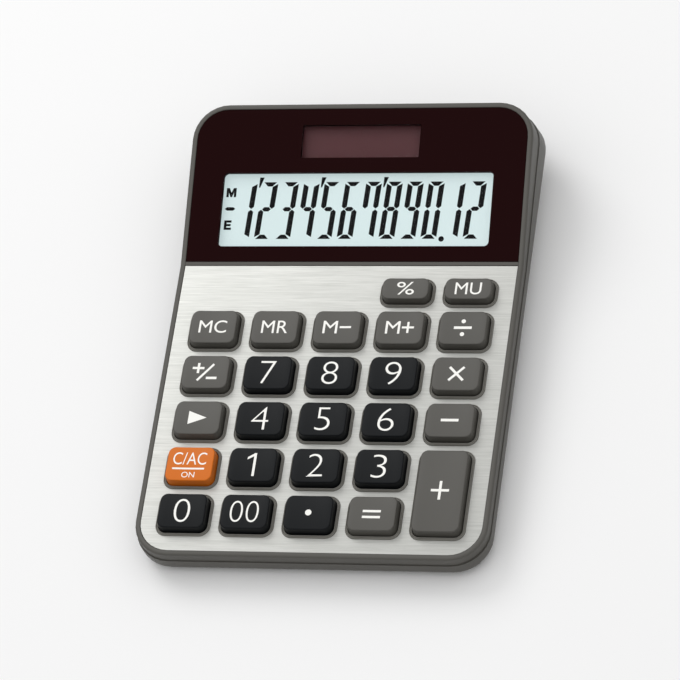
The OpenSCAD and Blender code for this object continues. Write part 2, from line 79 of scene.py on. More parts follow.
# %% The keypad and display planes
KEY_AXIS = frame["joints"][0]["axis"]
SLOPE = math.asin(KEY_AXIS[1])
TILT = math.radians(12.3)
PLATE_GAP = 0.2
PLATE_T = 0.5
plate_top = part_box("face_plate")[1] / MM
CREASE = Vector((
    0,
    plate_top.y + PLATE_GAP * math.cos(SLOPE) - (PLATE_GAP + PLATE_T) * math.sin(SLOPE),
    plate_top.z + PLATE_GAP * (math.sin(SLOPE) + math.cos(SLOPE)),
))
KEYPAD = Matrix.Scale(MM, 4) @ Matrix.Translation(CREASE) @ Matrix.Rotation(SLOPE, 4, "X")
DISPLAY = KEYPAD @ Matrix.Rotation(TILT, 4, "X")
DESK = Matrix.Scale(MM, 4)


def local_box(node, place):
    """Lowest and highest corner of a CAD node in one of the flat frames, in millimetres."""
    back = place.inverted()
    points = [back @ v.co for v in frame["nodes"][node].data.vertices]
    return [Vector(pick(p[i] for p in points) for i in range(3)) for pick in (min, max)]


print("crease at", [round(v, 3) for v in CREASE], "slope", round(math.degrees(SLOPE), 2))

# %% [markdown]
# Almost every outline here is a rectangle with round corners. A bevel of the corner vertices
# of one face gives true arcs. Outlines stacked at different depths are then bridged into a
# skin, which keeps the same number of points all the way and so gives clean quads. An
# outline that crosses the crease gets one more vertex on each side there, so that the skin
# can fold along it.

# %% Outlines and skins
CORNER_STEPS = 8
SAME_LINE = 1e-3


def outline(bm, half, y0, y1, front_r=0.0, rear_r=0.0, z=0.0, crease=False, x=0.0):
    """Edges of a flat outline about the given x, from y0 to y1, with its own corner radii."""
    old_edges, old_faces = set(bm.edges), set(bm.faces)
    spots = [(-half, y0), (half, y0), (half, y1), (-half, y1)]
    if crease:
        spots = [spots[0], spots[1], (half, 0.0), spots[2], spots[3], (-half, 0.0)]
    verts = [bm.verts.new((x + sx, sy, z)) for sx, sy in spots]
    bm.faces.new(verts)
    for radius, edge in ((front_r, y0), (rear_r, y1)):
        corners = [v for v in verts if v.is_valid and abs(v.co.y - edge) < SAME_LINE and radius > 0]
        if corners:
            bmesh.ops.bevel(bm, geom=corners, offset=radius, offset_type="OFFSET", affect="VERTICES",
                            segments=CORNER_STEPS, profile=0.5, material=-1, clamp_overlap=False)
    bmesh.ops.delete(bm, geom=[f for f in bm.faces if f not in old_faces], context="FACES_ONLY")
    return [e for e in bm.edges if e not in old_edges]


def skin(bm, loops, closed=False, ends=False):
    """Bridges each loop of edges to the next. Ends puts a face on the first and last."""
    for a, b in zip(loops, loops[1:] + loops[:1] if closed else loops[1:]):
        bmesh.ops.bridge_loops(bm, edges=a + b)
    if ends:
        for loop in (loops[0], loops[-1]):
            bmesh.ops.contextual_create(bm, geom=loop)

# %% [markdown]
# The plate, the window and all print are flat sheets with holes or odd outlines. Their area
# is filled first and then pulled up into a thin solid. Rounded edges are arcs in section, as
# pairs of how far in from the side and how far down from the top a point lies.

# %% Sheets and rounded edges
ARC_STEPS = 4


def pull(bm, faces, way):
    """Pulls flat faces into a solid. The old faces stay as the solid's other side."""
    made = bmesh.ops.extrude_face_region(bm, geom=faces, use_keep_orig=True)["geom"]
    bmesh.ops.translate(bm, verts=[g for g in made if isinstance(g, bmesh.types.BMVert)], vec=way)


def sheet(bm, loops, thick):
    """Fills the area between the outer loop and the holes, and gives it a thickness upwards."""
    made = bmesh.ops.triangle_fill(bm, use_beauty=True, use_dissolve=False,
                                   edges=[e for loop in loops for e in loop])
    pull(bm, [g for g in made["geom"] if isinstance(g, bmesh.types.BMFace)], (0, 0, thick))


def arc(inset, depth, radius, turn0, turn1):
    """Points (inset, depth) of a rounded edge about its centre, between two angles."""
    turns = [math.radians(turn0 + (turn1 - turn0) * i / ARC_STEPS) for i in range(ARC_STEPS + 1)]
    return [(inset - radius * math.cos(t), depth - radius * math.sin(t)) for t in turns]


print("a quarter round has", ARC_STEPS, "steps, a corner has", CORNER_STEPS)

# %% [markdown]
# A finished piece has its place in its mesh and rides on a CAD body. This helper turns a
# bmesh into such a piece: it moves the points to their place, turns the faces outwards,
# smooths every edge gentler than a limit, and hides the CAD nodes that the piece stands for.
# Blender's own guess at outwards can fail on thin print, so each island's volume is tested.

# %% From a bmesh to a piece
SMOOTH_UNDER = math.radians(38)


def islands(bm):
    """Lists of faces that hang together."""
    left = set(bm.faces)
    while left:
        reached = [left.pop()]
        for face in reached:
            found = {other for e in face.edges for other in e.link_faces if other in left}
            left -= found
            reached += found
        yield reached


def face_outwards(bm):
    """Turns the faces of every closed island so that its volume is positive."""
    bmesh.ops.recalc_face_normals(bm, faces=bm.faces)
    for faces in list(islands(bm)):
        if sum(f.calc_center_median().dot(f.normal) * f.calc_area() for f in faces) < 0:
            bmesh.ops.reverse_faces(bm, faces=faces)


def piece(name, bm, place, body, slot, finish, replaces=()):
    """Places a bmesh, makes it an object with one finish or several, and hangs it on a body."""
    bmesh.ops.transform(bm, matrix=place, verts=bm.verts)
    face_outwards(bm)
    mesh = bpy.data.meshes.new(name)
    bm.to_mesh(mesh)
    bm.free()
    mesh.shade_smooth()
    mesh.set_sharp_from_angle(angle=SMOOTH_UNDER)
    made = bpy.data.objects.new(name, mesh)
    bpy.context.scene.collection.objects.link(made)
    for material in finish if isinstance(finish, (list, tuple)) else [finish]:
        mesh.materials.append(material)
    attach(made, body)
    if replaces:
        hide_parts(*replaces)
    return made


print("edges gentler than", round(math.degrees(SMOOTH_UNDER)), "degrees are smooth")

# %% [markdown]
# ## Finishes
# Every surface is procedural. Moulded plastic has a fine spark-eroded grain and a faint
# unevenness in its gloss; one node group makes both, and each plastic sets its own amounts.
# Brushed metal has streaks that run across the plate, so its group stretches the noise.

# %% Colour and node helpers
def colour(hexa):
    """Linear colour of an sRGB hex code."""
    parts = [int(hexa[i:i + 2], 16) / 255 for i in (1, 3, 5)]
    return tuple(c / 12.92 if c <= 0.04045 else ((c + 0.055) / 1.055) ** 2.4 for c in parts) + (1.0,)


def group(name, sockets):
    """An empty node group with its inputs and outputs, and its two end nodes."""
    tree = bpy.data.node_groups.new(name, "ShaderNodeTree")
    for label, way, kind, value in sockets:
        made = tree.interface.new_socket(name=label, in_out=way, socket_type=kind)
        if value is not None:
            made.default_value = value
    return tree, tree.nodes.new("NodeGroupInput"), tree.nodes.new("NodeGroupOutput")


def ramp(tree, source, low, high):
    """A Map Range that takes 0..1 to low..high, either of which may be a socket."""
    node = tree.nodes.new("ShaderNodeMapRange")
    tree.links.new(source, node.inputs["Value"])
    for label, value in (("To Min", low), ("To Max", high)):
        if isinstance(value, (int, float)):
            node.inputs[label].default_value = value
        else:
            tree.links.new(value, node.inputs[label])
    return node.outputs["Result"]


def noise(tree, vector, scale, detail, rough):
    """The grey value of a noise texture."""
    node = tree.nodes.new("ShaderNodeTexNoise")
    tree.links.new(vector, node.inputs["Vector"])
    node.inputs["Scale"].default_value = scale
    node.inputs["Detail"].default_value = detail
    node.inputs["Roughness"].default_value = rough
    return node.outputs["Fac"]


print("middle grey is", round(colour("#808080")[0], 3), "in linear light")

# %% [markdown]
# The grain is a fine noise. It lightens the colour a little where it stands high, and it is
# also the height that a bump reads. A coarse, cloudy noise moves the gloss between two limits.

# %% The shared grain of moulded plastic
GRAIN_SCALE = 3200
CLOUD_SCALE = 60


def moulded_group():
    tree, start, end = group("moulded_grain", [
        ("Colour", "INPUT", "NodeSocketColor", (0.5, 0.5, 0.5, 1)),
        ("Gloss low", "INPUT", "NodeSocketFloat", 0.4),
        ("Gloss high", "INPUT", "NodeSocketFloat", 0.5),
        ("Tone", "INPUT", "NodeSocketFloat", 0.06),
        ("Colour", "OUTPUT", "NodeSocketColor", None),
        ("Roughness", "OUTPUT", "NodeSocketFloat", None),
        ("Height", "OUTPUT", "NodeSocketFloat", None),
    ])
    where = tree.nodes.new("ShaderNodeTexCoord").outputs["Object"]
    grain = noise(tree, where, GRAIN_SCALE, 3.0, 0.6)
    cloud = noise(tree, where, CLOUD_SCALE, 3.0, 0.55)
    tone = tree.nodes.new("ShaderNodeMath")
    tone.operation = "MULTIPLY_ADD"
    tree.links.new(grain, tone.inputs[0])
    tree.links.new(start.outputs["Tone"], tone.inputs[1])
    tone.inputs[2].default_value = 1.0
    scaled = tree.nodes.new("ShaderNodeVectorMath")
    scaled.operation = "SCALE"
    tree.links.new(start.outputs["Colour"], scaled.inputs[0])
    tree.links.new(tone.outputs[0], scaled.inputs["Scale"])
    tree.links.new(scaled.outputs[0], end.inputs["Colour"])
    rough = ramp(tree, cloud, start.outputs["Gloss low"], start.outputs["Gloss high"])
    tree.links.new(rough, end.inputs["Roughness"])
    tree.links.new(grain, end.inputs["Height"])
    return tree


MOULDED = moulded_group()
print(MOULDED.name, "has", len(MOULDED.nodes), "nodes")

# %% [markdown]
# Streaks are noise drawn out along X, fine and broad ones mixed. They swing the colour between
# a dark and a light tone, and light streaks are the glossier ones. Where a finish sets it, a painted
# sheen also makes the colour lighter towards the left and rear and darker towards the right and
# front, along one slant, standing in for a broad reflection.

# %% The shared streaks of brushed metal
# The slant of the painted sheen: the colour grows lighter towards minus X and plus Y.
PAINTED_SHEEN_SLANT = (-8.0, 4.0, 0.0)
STREAK_STRETCH = (0.02, 1.0, 1.0)
FINE_STREAKS = 6500
BROAD_STREAKS = 2300
BROAD_SHARE = 0.55


def brushed_group():
    tree, start, end = group("brushed_streaks_and_painted_sheen", [
        ("Dark", "INPUT", "NodeSocketColor", (0.5, 0.5, 0.5, 1)),
        ("Light", "INPUT", "NodeSocketColor", (0.8, 0.8, 0.8, 1)),
        ("Gloss low", "INPUT", "NodeSocketFloat", 0.3),
        ("Gloss high", "INPUT", "NodeSocketFloat", 0.45),
        ("Painted sheen", "INPUT", "NodeSocketFloat", 0.0),
        ("Colour", "OUTPUT", "NodeSocketColor", None),
        ("Roughness", "OUTPUT", "NodeSocketFloat", None),
        ("Height", "OUTPUT", "NodeSocketFloat", None),
    ])
    where = tree.nodes.new("ShaderNodeTexCoord").outputs["Object"]
    # Painted sheen: the colour is scaled along one slant, lighter towards the left and rear, as a broad
    # reflection.
    slant = tree.nodes.new("ShaderNodeVectorMath")
    slant.operation = "DOT_PRODUCT"
    slant.inputs[1].default_value = PAINTED_SHEEN_SLANT
    tree.links.new(where, slant.inputs[0])
    painted_sheen = tree.nodes.new("ShaderNodeMath")
    painted_sheen.operation = "MULTIPLY_ADD"
    tree.links.new(slant.outputs["Value"], painted_sheen.inputs[0])
    tree.links.new(start.outputs["Painted sheen"], painted_sheen.inputs[1])
    painted_sheen.inputs[2].default_value = 1.0
    stretch = tree.nodes.new("ShaderNodeMapping")
    stretch.inputs["Scale"].default_value = STREAK_STRETCH
    tree.links.new(where, stretch.inputs["Vector"])
    fine = noise(tree, stretch.outputs["Vector"], FINE_STREAKS, 3.0, 0.7)
    broad = noise(tree, stretch.outputs["Vector"], BROAD_STREAKS, 4.0, 0.75)
    both = tree.nodes.new("ShaderNodeMix")
    both.inputs["Factor"].default_value = BROAD_SHARE
    tree.links.new(fine, both.inputs["A"])
    tree.links.new(broad, both.inputs["B"])
    streak = ramp(tree, both.outputs["Result"], 0.0, 1.0)
    streak.node.inputs["From Min"].default_value = 0.3
    streak.node.inputs["From Max"].default_value = 0.7
    tint = tree.nodes.new("ShaderNodeMix")
    tint.data_type = "RGBA"
    tree.links.new(streak, tint.inputs["Factor"])
    tree.links.new(start.outputs["Dark"], tint.inputs["A"])
    tree.links.new(start.outputs["Light"], tint.inputs["B"])
    scaled = tree.nodes.new("ShaderNodeVectorMath")
    scaled.operation = "SCALE"
    tree.links.new([s for s in tint.outputs if s.type == "RGBA"][0], scaled.inputs[0])
    tree.links.new(painted_sheen.outputs[0], scaled.inputs["Scale"])
    tree.links.new(scaled.outputs[0], end.inputs["Colour"])
    rough = ramp(tree, streak, start.outputs["Gloss high"], start.outputs["Gloss low"])
    tree.links.new(rough, end.inputs["Roughness"])
    tree.links.new(both.outputs["Result"], end.inputs["Height"])
    return tree


BRUSHED = brushed_group()
print(BRUSHED.name, "has", len(BRUSHED.nodes), "nodes")

# %% [markdown]
# One function builds a material round either group. What is the same all over, such as the
# metallic share, the coat or the transparency, stays on the shader's own sockets.

# %% Making a material
def material(name, grain, values, bump=0.1, bump_mm=0.01, **fixed):
    """A Principled BSDF fed by one of the groups. Fixed sets the shader's own sockets."""
    made = bpy.data.materials.new(name)
    made.use_nodes = True
    tree = made.node_tree
    shader = tree.nodes["Principled BSDF"]
    effect = tree.nodes.new("ShaderNodeGroup")
    effect.node_tree = grain
    for label, value in values.items():
        effect.inputs[label].default_value = value
    tree.links.new(effect.outputs["Colour"], shader.inputs["Base Color"])
    tree.links.new(effect.outputs["Roughness"], shader.inputs["Roughness"])
    relief = tree.nodes.new("ShaderNodeBump")
    relief.inputs["Strength"].default_value = bump
    relief.inputs["Distance"].default_value = bump_mm * MM
    tree.links.new(effect.outputs["Height"], relief.inputs["Height"])
    tree.links.new(relief.outputs["Normal"], shader.inputs["Normal"])
    for label, value in fixed.items():
        shader.inputs[label.replace("_", " ")].default_value = value
    return made


def plastic(name, hexa, low=0.42, high=0.52, tone=0.1, **extra):
    values = {"Colour": colour(hexa), "Gloss low": low, "Gloss high": high, "Tone": tone}
    return material(name, MOULDED, values, **extra)


def metal(name, dark, light, low=0.25, high=0.42, **extra):
    values = {"Dark": colour(dark), "Light": colour(light), "Gloss low": low, "Gloss high": high}
    return material(name, BRUSHED, values, **extra)


# %% [markdown]
# The case is mid grey and matt. The collars are the case's own grey plastic, painted a lighter
# grey as a highlight, and the caps come in three shades of the same plastic. The panel is glossy
# with very little glare, so that it stays deep. The display field has a painted glow: it gives off
# a little light of its own, which stands in for the light that its reflector throws back.

# %% The finishes of this calculator
CASE_GREY = plastic("case_grey_plastic", "#4a4843", 0.45, 0.56, bump=0.35)
# The collars are the case's own grey plastic; this lighter grey is a painted highlight.
COLLAR_GREY_PAINTED_HIGHLIGHT = plastic("collar_grey_painted_highlight", "#75736d", 0.42, 0.5, bump=0.1)
KEY_GREY = plastic("key_grey_plastic", "#474540", 0.42, 0.5, bump=0.25)
KEY_BLACK = plastic("key_black_plastic", "#0a0d10", 0.36, 0.44, bump=0.25, Specular_IOR_Level=0.15)
KEY_ORANGE = plastic("key_orange_plastic", "#cd6a14", 0.4, 0.48, bump=0.2, Specular_IOR_Level=0.25)
INK_WHITE = plastic("legend_white_ink", "#f4f3ee", 0.4, 0.5, tone=0.02, bump=0.05)
FACE_METAL_PAINTED_SHEEN = metal("brushed_face_metal_painted_sheen", "#b0b1ac", "#d3d3cf", 0.38, 0.48, bump=0.1, Metallic=0.4)
# The plate gets a painted sheen, lighter towards its left and rear and darker towards its right and front.
FACE_METAL_PAINTED_SHEEN.node_tree.nodes["Group"].inputs["Painted sheen"].default_value = 0.3
PANEL_DARK = plastic("display_panel_gloss", "#1c0506", 0.06, 0.1, tone=0.02, bump=0.02,
                     Specular_IOR_Level=0.03)
PANEL_CLEAR = plastic("display_panel_clear", "#30282a", 0.03, 0.05, tone=0.0, bump=0.0, Alpha=0.03)
# The display field's emission is a painted glow, standing in for the light its reflector throws back.
LCD_PALE_PAINTED_GLOW = plastic("lcd_pale_field_painted_glow", "#8e9a9a", 0.3, 0.4, tone=0.02, bump=0.0,
                   Emission_Color=colour("#d6e8e9"), Emission_Strength=0.66)
LCD_INK = plastic("lcd_segment_black", "#06080a", 0.5, 0.6, tone=0.02, bump=0.0, Specular_IOR_Level=0.1)
SOLAR = plastic("solar_cell_film", "#533033", 0.3, 0.4, tone=0.1, bump=0.05, Specular_IOR_Level=0.15)
PRINT_DARK = plastic("window_print", "#1a0a0b", 0.3, 0.4, tone=0.02, bump=0.0)
WHITE_PLASTIC = plastic("holder_white_plastic", "#e4e3de")
RIBBON = plastic("ribbon_amber_film", "#b98b3c", 0.25, 0.35)
WIRE_RED = plastic("wire_red_sleeve", "#a9261f", 0.35, 0.45)
WIRE_BLACK = plastic("wire_black_sleeve", "#161616", 0.35, 0.45)
BOARD = plastic("board_green_mask", "#1d5a36", 0.25, 0.35)
RESIN = plastic("chip_black_resin", "#0d0d0d", 0.15, 0.3)
SILICONE = plastic("mat_silicone", "#dcdbd6", 0.45, 0.6)
RUBBER = plastic("foot_black_rubber", "#1b1b1b", 0.65, 0.8, tone=0.3, bump=0.5, bump_mm=0.03)
STEEL = metal("screw_zinc_steel", "#8f9091", "#b9babb", bump=0.05, Metallic=1.0)
NICKEL = metal("cell_nickel_steel", "#a9a9a7", "#d3d3d0", 0.18, 0.3, bump=0.04, Metallic=1.0)
BRASS = metal("contact_brass_strip", "#a98a44", "#d2b262", 0.22, 0.35, bump=0.04, Metallic=1.0)
print(len(bpy.data.materials), "materials")

# %% [markdown]
# Small parts that hardly show keep their CAD shape and only get a finish: the display stack
# and the solar cell behind the window, the screws, the battery cover and the whole inside.

# %% Finishes for the CAD nodes that stay
NODE_FINISH = {
    # The display stack takes the painted glow of the display field.
    "window_mask": PRINT_DARK, "lcd_polariser": LCD_PALE_PAINTED_GLOW, "lcd_glass": LCD_PALE_PAINTED_GLOW,
    "lcd_reflector": LCD_PALE_PAINTED_GLOW, "lcd_holder": WHITE_PLASTIC, "lcd_ribbon": RIBBON,
    "solar_cell": SOLAR, "solar_wires": WIRE_RED, "main_board": BOARD, "chip_cap": RESIN,
    "board_screws": STEEL, "keypad_mat": SILICONE, "case_screws": STEEL,
    "button_cell": NICKEL, "cell_contact_top": BRASS, "cell_contact_side": BRASS,
    "cell_wires": WIRE_BLACK, "battery_cover": CASE_GREY,
}
for node, finish in NODE_FINISH.items():
    mesh = frame["nodes"][node].data
    mesh.materials.clear()
    mesh.materials.append(finish)
print(len(NODE_FINISH), "CAD nodes keep their shape")

# %% [markdown]
# ## The upper case
# It is drawn flat, as if keypad and display lay in one plane, and folded at the end. A point
# behind the crease turns about it with the display. A point on the crease goes to the mitre,
# where the two offset planes meet, which is why each outline has a vertex there.

# %% Folding along the crease
ON_CREASE = 1e-4


def fold(bm):
    """Tilts everything behind the crease up to the display's plane."""
    for v in bm.verts:
        x, y, z = v.co
        if abs(y) < ON_CREASE:
            v.co = (x, -z * math.tan(TILT / 2), z)
        elif y > 0:
            v.co = Matrix.Rotation(TILT, 3, "X") @ v.co


print("the display tilts up by", round(math.degrees(TILT), 1), "degrees")

# %% [markdown]
# The upper case is 0.3 mm narrower all round than the lower one, and a thin line of shadow
# lies between them. The seam keeps its depth under the keypad. Under the display it climbs
# less than the surface does, so the upper case grows deeper towards the rear.

# %% Sizes of the case
low_box = local_box("lower_case", KEYPAD)
LEDGE = 0.3
CORNER_R = 11.0
RIM = 1.6
WALL = 1.7
WINDOW_GAP = 0.1
SEAM_DROP = 3.6
SEAM_RISE = math.radians(6.3)
HALF_W = low_box[1].x
UPPER_HALF = HALF_W - LEDGE
FRONT = low_box[0].y
REAR = local_box("display_window", DISPLAY)[1].y + LEDGE + RIM + WINDOW_GAP
print("case", round(2 * HALF_W, 2), "wide, planes", round(FRONT, 2), "and", round(REAR, 2))


def seam_depth(y):
    """Depth of the seam below the planes: even under the keypad, growing to the rear."""
    if y <= 0:
        return SEAM_DROP
    rise = math.tan(SEAM_RISE)
    grow = math.sin(TILT) - math.cos(TILT) * rise
    return (SEAM_DROP + y * grow) / (math.cos(TILT) + math.sin(TILT) * rise)


# %% [markdown]
# The wall and the rim are one closed tube that runs round the case: up the outside, over a
# rounded edge, across the flat rim, down to the recess that holds the plate and the window,
# and back down the inside. Its lower edge follows the seam.

# %% The rim and the wall
SEAM_GAP = 0.12
RIM_ROUND = 0.75
INNER_ROUND = 0.2
WALL_TOP = 2.2
RECESS = 1.5
SHELF = 0.3


def rim_loop(bm, inset, depth):
    """An outline of the upper case at one depth, or along the seam where depth is None."""
    half = UPPER_HALF - inset
    radius = CORNER_R - inset
    edges = outline(bm, half, FRONT + LEDGE + inset, REAR - LEDGE - inset, radius, radius, crease=True)
    for v in {v for e in edges for v in e.verts}:
        v.co.z = -(depth if depth is not None else seam_depth(v.co.y) - SEAM_GAP)
    return edges


def rim_tube(bm):
    profile = [(0.0, None), (0.0, WALL_TOP)]
    profile += arc(RIM_ROUND, RIM_ROUND, RIM_ROUND, 0, 90)
    profile += arc(RIM - INNER_ROUND, INNER_ROUND, INNER_ROUND, 90, 180)
    profile += [(RIM, RECESS), (WALL + SHELF, RECESS), (WALL, None)]
    skin(bm, [rim_loop(bm, inset, depth) for inset, depth in profile], closed=True)


upper = bmesh.new()
rim_tube(upper)
print("rim and wall:", len(upper.faces), "faces")

# %% [markdown]
# Under the plate is a deck with an opening for each key. Each opening has a collar: a low
# rounded ring, with a fine groove in its top, that stands up through the plate and guards
# the key's edge. The key centres come from the CAD keys. A key's box holds its hidden flange
# too, which adds 0.8 mm before and behind.

# %% Where the keys are
FLANGE = 0.8
KEY_R = 2.2
KEY_GAP = 0.2
COLLAR_T = 0.85
COLLAR_H = 0.35
key_boxes = {}
for name in sorted(frame["nodes"]):
    if name.startswith("key_"):
        lo, hi = local_box(name, KEYPAD)
        key_boxes[name] = {
            "x": (lo.x + hi.x) / 2, "y": (lo.y + hi.y) / 2,
            "half": (hi.x - lo.x) / 2, "length": hi.y - lo.y - 2 * FLANGE, "top": hi.z,
        }
print(len(key_boxes), "keys")


def key_outline(bm, key, grow, z, radius=None):
    """A key's outline, grown outwards, at a height."""
    reach = key["length"] / 2 + grow
    radius = KEY_R + grow if radius is None else radius
    return outline(bm, key["half"] + grow, key["y"] - reach, key["y"] + reach,
                   radius, radius, z, x=key["x"])


# %% [markdown]
# Each collar is its own closed ring, made from one profile that is repeated along the outline
# of its key. Its faces take the second material: the case's own grey plastic, painted lighter as a highlight.

# %% The deck and the collars
DECK_TOP = 0.72
DECK_T = 1.5
FIT = 0.05
COLLAR_OUT = KEY_GAP + COLLAR_T
COLLAR_FOOT = -1.0


def deck(bm):
    """The flat floor under the plate, with an opening for each key."""
    edge = RIM + FIT
    low = -DECK_TOP - DECK_T
    loops = [outline(bm, UPPER_HALF - edge, FRONT + LEDGE + edge, -FIT, CORNER_R - edge, 0, low)]
    loops += [key_outline(bm, key, KEY_GAP, low) for key in key_boxes.values()]
    sheet(bm, loops, DECK_T)


def collar(bm, key):
    """A ring with a rounded outer edge, a groove in its top and a lower lip beside the key."""
    outer = [(COLLAR_OUT, COLLAR_FOOT), (COLLAR_OUT, 0.15), (1.0, 0.27), (0.9, COLLAR_H)]
    groove = [(0.79, 0.3), (0.71, 0.1), (0.62, 0.08), (0.56, 0.2)]
    lip = [(0.43, 0.27), (0.29, 0.22), (KEY_GAP, 0.08), (KEY_GAP, COLLAR_FOOT)]
    skin(bm, [key_outline(bm, key, grow, z) for grow, z in outer + groove + lip], closed=True)


deck(upper)
case_faces = set(upper.faces)
for key in key_boxes.values():
    collar(upper, key)
# The collars take the second material, whose lighter grey is a painted highlight.
for face in set(upper.faces) - case_faces:
    face.material_index = 1
print("deck and collars:", len(upper.faces), "faces so far")

# %% [markdown]
# At the crease a low bar parts the plate from the window. Behind it the window lies on a bed
# that is open over the display and over the solar cell, half a millimetre wider all round
# than the clear panes. With that the flat drawing is complete and can be folded.

# %% The divider, the window's bed and the fold
WINDOW_START = 1.2
WINDOW_FLOOR = 1.36
BED_T = 1.2
BED_START = WINDOW_START - WINDOW_GAP
LCD_VIEW = (42.0, 6.1, 29.4)
SOLAR_VIEW = (18.4, 34.1, 44.5)
VIEW_ROOM = 0.5
BAR_GAP = 0.03
BAR_FOOT = -1.5
BAR_SIDE_GAP = 0.02


def divider(bm):
    """The low bar between plate and window, lying on the display side of the crease."""
    half = UPPER_HALF - RIM - BAR_SIDE_GAP
    rear = WINDOW_START - BAR_GAP
    profile = [(BAR_GAP, BAR_FOOT), (BAR_GAP, -0.12), (0.12, -BAR_GAP)]
    profile += [(rear - 0.12, -BAR_GAP), (rear, -0.14), (rear, BAR_FOOT)]
    pull(bm, [bm.faces.new([bm.verts.new((-half, y, z)) for y, z in profile])], (2 * half, 0, 0))


def window_bed(bm):
    """The ledge that carries the window, with its two openings."""
    edge = RIM + FIT
    low = -WINDOW_FLOOR - BED_T
    loops = [outline(bm, UPPER_HALF - edge, BED_START, REAR - LEDGE - edge, 0, CORNER_R - RIM, low)]
    for half, front, rear in (LCD_VIEW, SOLAR_VIEW):
        loops.append(outline(bm, half + VIEW_ROOM, front - VIEW_ROOM, rear + VIEW_ROOM, z=low))
    sheet(bm, loops, BED_T)


divider(upper)
window_bed(upper)
fold(upper)
shell = piece("upper_case_shell", upper, KEYPAD, "case", "case_plastic", [CASE_GREY, COLLAR_GREY_PAINTED_HIGHLIGHT],
              ["upper_case"])
print("upper case:", len(shell.data.polygons), "faces")

# %% [markdown]
# ## The plate
# A thin sheet with 26 openings is cut and brushed in one go on the real object. Here it is
# filled between its outline and the openings and raised to its thickness.

# %% The brushed plate
PLATE_FIT = 0.06
PLATE_REACH = 0.12
plate = bmesh.new()
plate_lo, plate_hi = local_box("face_plate", KEYPAD)
loops = [outline(plate, plate_hi.x, plate_lo.y, plate_hi.y + PLATE_REACH, CORNER_R - RIM, 0, plate_lo.z)]
loops += [key_outline(plate, key, COLLAR_OUT + PLATE_FIT, plate_lo.z) for key in key_boxes.values()]
sheet(plate, loops, plate_hi.z - plate_lo.z)
piece("brushed_plate", plate, KEYPAD, "case", "face_metal", FACE_METAL_PAINTED_SHEEN, ["face_plate"])
print("plate", [round(v, 2) for v in plate_hi - plate_lo])

# %% [markdown]
# ## The window
# The real window is one clear sheet, printed dark on its back except over the display and
# the solar cell. Seen from the front the printed part is a deep gloss, so that part is an
# opaque gloss and the two clear parts are panes of their own in the same sheet.

# %% The display window
WINDOW_FRONT_R = 0.4
WINDOW_REAR_R = CORNER_R - RIM - 2 * WINDOW_GAP
LCD_CORNER_R, SOLAR_CORNER_R = 1.4, 0.3
PANE_LIFT = 0.02
views = [(LCD_VIEW, LCD_CORNER_R), (SOLAR_VIEW, SOLAR_CORNER_R)]
window_lo, window_hi = local_box("display_window", DISPLAY)
window_t = window_hi.z - window_lo.z
window = bmesh.new()
rings = [outline(window, window_hi.x, window_lo.y, window_hi.y, WINDOW_FRONT_R, WINDOW_REAR_R, window_lo.z)]
rings += [outline(window, *view, r, r, window_lo.z) for view, r in views]
sheet(window, rings, window_t)
dark_faces = set(window.faces)
for view, r in views:
    sheet(window, [outline(window, *view, r, r, window_lo.z + PANE_LIFT)], window_t - PANE_LIFT)
for face in window.faces:
    face.material_index = 0 if face in dark_faces else 1
piece("display_window_sheet", window, DISPLAY, "case", "window_acrylic", [PANEL_DARK, PANEL_CLEAR],
      ["display_window"])
print("window", [round(v, 2) for v in window_hi - window_lo])

# %% [markdown]
# ## The digits
# Each digit has seven segments with mitred ends that leave a fine gap between them, and all
# of them lean by a few degrees. The upper half is a little shorter than the lower. Which
# segments are lit is what each numeral says; thin wedges and a point group the number.

# %% Seven segments
DIGIT_TOP, DIGIT_MID, DIGIT_FOOT = 27.2, 18.6, 9.2
DIGIT_HALF = 2.45
STROKE = 1.62
BAR = 1.35
SPLIT = 0.13
CORNER_CUT = 0.45
LEAN = math.tan(math.radians(4.3))
INK_T = 0.03
SEGMENTS = {
    "0": "abcdef", "1": "bc", "2": "abged", "3": "abgcd", "4": "fgbc",
    "5": "afgcd", "6": "afgedc", "7": "abcf", "8": "abcdefg", "9": "abcdfg",
}


def segment_points(letter):
    """Corner points of one segment about the digit's own middle line."""
    w, s, b, g = DIGIT_HALF, STROKE, BAR, SPLIT
    top, mid, foot = DIGIT_TOP, DIGIT_MID, DIGIT_FOOT
    if letter in "ad":
        y, turn = (top, -1) if letter == "a" else (foot, 1)
        inner = w - s - g
        return [(-w + CORNER_CUT, y), (w - CORNER_CUT, y), (inner, y + turn * b), (-inner, y + turn * b)]
    if letter == "g":
        tip = w - s / 2 - 2 * g
        reach = w - s - g
        return [(-tip, mid), (-reach, mid + b / 2), (reach, mid + b / 2), (tip, mid),
                (reach, mid - b / 2), (-reach, mid - b / 2)]
    side = 1 if letter in "bc" else -1
    end, turn = (top, 1) if letter in "bf" else (foot, -1)
    points = [(w, end - turn * (CORNER_CUT + g)), (w, mid + turn * (b / 2 + g)), (w - s / 2, mid + turn * g),
              (w - s, mid + turn * (b / 2 + g)), (w - s, end - turn * (b + g))]
    return [(side * x, y) for x, y in points]


def ink(bm, points, z, lean=0.0):
    """A thin printed patch with the given corners, leaning about the middle of the digits."""
    face = bm.faces.new([bm.verts.new((x + (y - DIGIT_MID) * lean, y, z)) for x, y in points])
    pull(bm, [face], (0, 0, INK_T))


def stroke(bm, x0, y0, x1, y1, width):
    """A straight line of ink with square ends."""
    ends = [Vector((x0, y0)), Vector((x1, y1))]
    across = (ends[1] - ends[0]).normalized().orthogonal() * width / 2
    corners = [ends[0] - across, ends[1] - across, ends[1] + across, ends[0] + across]
    ink(bm, [(p.x, p.y) for p in corners], 0)


print("lean of a digit:", round(DIGIT_TOP * LEAN - DIGIT_FOOT * LEAN, 2), "mm from foot to top")

# %% [markdown]
# Letters come from a text object that is made a mesh while it still lies at the origin. It
# is then fitted to the box it has to fill, so the look doesn't depend on the font's metrics.

# %% Lettering fitted to a box
CURVE_STEPS = 6
SAME_POINT = 1e-5


